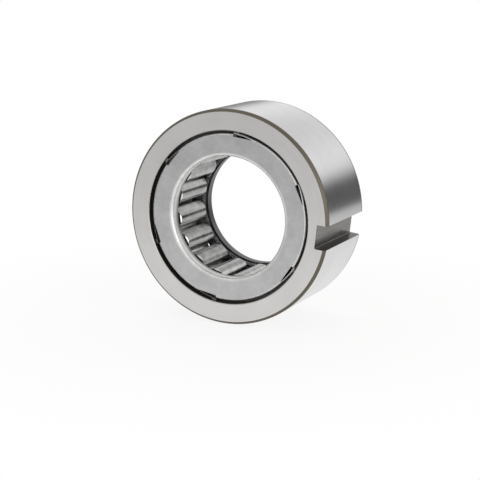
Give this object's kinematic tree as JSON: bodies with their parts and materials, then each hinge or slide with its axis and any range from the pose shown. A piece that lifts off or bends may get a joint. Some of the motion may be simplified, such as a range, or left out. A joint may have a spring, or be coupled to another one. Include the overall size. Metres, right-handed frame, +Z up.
{
  "type": "one-way clutch bearing",
  "caption": "One-way clutch bearing: keyed outer ring, recessed side plates with lanced tabs, and a full ring of tilting cams that grip a plain shaft in one direction.",
  "frame": {"origin": "centre of the bearing, on its axis and halfway across its width", "axes": "the bearing's axis is Y, with its front toward -Y, and +Z is up as it stands on its rim"},
  "size_m": [0.09, 0.04, 0.09],
  "materials": {
    "ring_steel": "ground and satin",
    "plate_steel": "pressed, fine satin",
    "spring_steel": "drawn wire",
    "cam_steel": "hardened and polished"
  },
  "bodies": {
    "housing": {"outer_ring": "ring_steel", "front_plate": "plate_steel", "rear_plate": "plate_steel"},
    "cam_set": {"front_garter_spring": "spring_steel", "rear_garter_spring": "spring_steel"},
    "cam_01": {"cam_01": "cam_steel"},
    "cam_02": {"cam_02": "cam_steel"},
    "cam_03": {"cam_03": "cam_steel"},
    "cam_04": {"cam_04": "cam_steel"},
    "cam_05": {"cam_05": "cam_steel"},
    "cam_06": {"cam_06": "cam_steel"},
    "cam_07": {"cam_07": "cam_steel"},
    "cam_08": {"cam_08": "cam_steel"},
    "cam_09": {"cam_09": "cam_steel"},
    "cam_10": {"cam_10": "cam_steel"},
    "cam_11": {"cam_11": "cam_steel"},
    "cam_12": {"cam_12": "cam_steel"},
    "cam_13": {"cam_13": "cam_steel"},
    "cam_14": {"cam_14": "cam_steel"},
    "cam_15": {"cam_15": "cam_steel"},
    "cam_16": {"cam_16": "cam_steel"},
    "cam_17": {"cam_17": "cam_steel"}
  },
  "joints": [
    {"name": "cam_set_spin", "type": "hinge", "parent": "housing", "child": "cam_set", "pos_m": [0, 0, 0], "axis": [0, 1, 0], "continuous": true},
    {"name": "cam_01_tilt", "type": "hinge", "parent": "cam_set", "child": "cam_01", "pos_m": [0.02654, 0, 0.00948], "axis": [0, 1, 0], "range_deg": [-10, 30], "stiffness_Nm_per_rad": 0.01},
    {"name": "cam_02_tilt", "type": "hinge", "parent": "cam_set", "child": "cam_02", "pos_m": [0.02132, 0, 0.01842], "axis": [0, 1, 0], "range_deg": [-10, 30], "stiffness_Nm_per_rad": 0.01},
    {"name": "cam_03_tilt", "type": "hinge", "parent": "cam_set", "child": "cam_03", "pos_m": [0.01323, 0, 0.02488], "axis": [0, 1, 0], "range_deg": [-10, 30], "stiffness_Nm_per_rad": 0.01},
    {"name": "cam_04_tilt", "type": "hinge", "parent": "cam_set", "child": "cam_04", "pos_m": [0.00335, 0, 0.02798], "axis": [0, 1, 0], "range_deg": [-10, 30], "stiffness_Nm_per_rad": 0.01},
    {"name": "cam_05_tilt", "type": "hinge", "parent": "cam_set", "child": "cam_05", "pos_m": [-0.00699, 0, 0.0273], "axis": [0, 1, 0], "range_deg": [-10, 30], "stiffness_Nm_per_rad": 0.01},
    {"name": "cam_06_tilt", "type": "hinge", "parent": "cam_set", "child": "cam_06", "pos_m": [-0.01638, 0, 0.02293], "axis": [0, 1, 0], "range_deg": [-10, 30], "stiffness_Nm_per_rad": 0.01},
    {"name": "cam_07_tilt", "type": "hinge", "parent": "cam_set", "child": "cam_07", "pos_m": [-0.02356, 0, 0.01547], "axis": [0, 1, 0], "range_deg": [-10, 30], "stiffness_Nm_per_rad": 0.01},
    {"name": "cam_08_tilt", "type": "hinge", "parent": "cam_set", "child": "cam_08", "pos_m": [-0.02755, 0, 0.00591], "axis": [0, 1, 0], "range_deg": [-10, 30], "stiffness_Nm_per_rad": 0.01},
    {"name": "cam_09_tilt", "type": "hinge", "parent": "cam_set", "child": "cam_09", "pos_m": [-0.02783, 0, -0.00444], "axis": [0, 1, 0], "range_deg": [-10, 30], "stiffness_Nm_per_rad": 0.01},
    {"name": "cam_10_tilt", "type": "hinge", "parent": "cam_set", "child": "cam_10", "pos_m": [-0.02435, 0, -0.01419], "axis": [0, 1, 0], "range_deg": [-10, 30], "stiffness_Nm_per_rad": 0.01},
    {"name": "cam_11_tilt", "type": "hinge", "parent": "cam_set", "child": "cam_11", "pos_m": [-0.01758, 0, -0.02203], "axis": [0, 1, 0], "range_deg": [-10, 30], "stiffness_Nm_per_rad": 0.01},
    {"name": "cam_12_tilt", "type": "hinge", "parent": "cam_set", "child": "cam_12", "pos_m": [-0.00843, 0, -0.02689], "axis": [0, 1, 0], "range_deg": [-10, 30], "stiffness_Nm_per_rad": 0.01},
    {"name": "cam_13_tilt", "type": "hinge", "parent": "cam_set", "child": "cam_13", "pos_m": [0.00185, 0, -0.02812], "axis": [0, 1, 0], "range_deg": [-10, 30], "stiffness_Nm_per_rad": 0.01},
    {"name": "cam_14_tilt", "type": "hinge", "parent": "cam_set", "child": "cam_14", "pos_m": [0.01188, 0, -0.02555], "axis": [0, 1, 0], "range_deg": [-10, 30], "stiffness_Nm_per_rad": 0.01},
    {"name": "cam_15_tilt", "type": "hinge", "parent": "cam_set", "child": "cam_15", "pos_m": [0.02031, 0, -0.01953], "axis": [0, 1, 0], "range_deg": [-10, 30], "stiffness_Nm_per_rad": 0.01},
    {"name": "cam_16_tilt", "type": "hinge", "parent": "cam_set", "child": "cam_16", "pos_m": [0.026, 0, -0.01088], "axis": [0, 1, 0], "range_deg": [-10, 30], "stiffness_Nm_per_rad": 0.01},
    {"name": "cam_17_tilt", "type": "hinge", "parent": "cam_set", "child": "cam_17", "pos_m": [0.02817, 0, -0.00075], "axis": [0, 1, 0], "range_deg": [-10, 30], "stiffness_Nm_per_rad": 0.01}
  ],
  "couplings": [
    {"joint": "cam_02_tilt", "follows": "cam_01_tilt", "ratio": 1},
    {"joint": "cam_03_tilt", "follows": "cam_01_tilt", "ratio": 1},
    {"joint": "cam_04_tilt", "follows": "cam_01_tilt", "ratio": 1},
    {"joint": "cam_05_tilt", "follows": "cam_01_tilt", "ratio": 1},
    {"joint": "cam_06_tilt", "follows": "cam_01_tilt", "ratio": 1},
    {"joint": "cam_07_tilt", "follows": "cam_01_tilt", "ratio": 1},
    {"joint": "cam_08_tilt", "follows": "cam_01_tilt", "ratio": 1},
    {"joint": "cam_09_tilt", "follows": "cam_01_tilt", "ratio": 1},
    {"joint": "cam_10_tilt", "follows": "cam_01_tilt", "ratio": 1},
    {"joint": "cam_11_tilt", "follows": "cam_01_tilt", "ratio": 1},
    {"joint": "cam_12_tilt", "follows": "cam_01_tilt", "ratio": 1},
    {"joint": "cam_13_tilt", "follows": "cam_01_tilt", "ratio": 1},
    {"joint": "cam_14_tilt", "follows": "cam_01_tilt", "ratio": 1},
    {"joint": "cam_15_tilt", "follows": "cam_01_tilt", "ratio": 1},
    {"joint": "cam_16_tilt", "follows": "cam_01_tilt", "ratio": 1},
    {"joint": "cam_17_tilt", "follows": "cam_01_tilt", "ratio": 1}
  ]
}
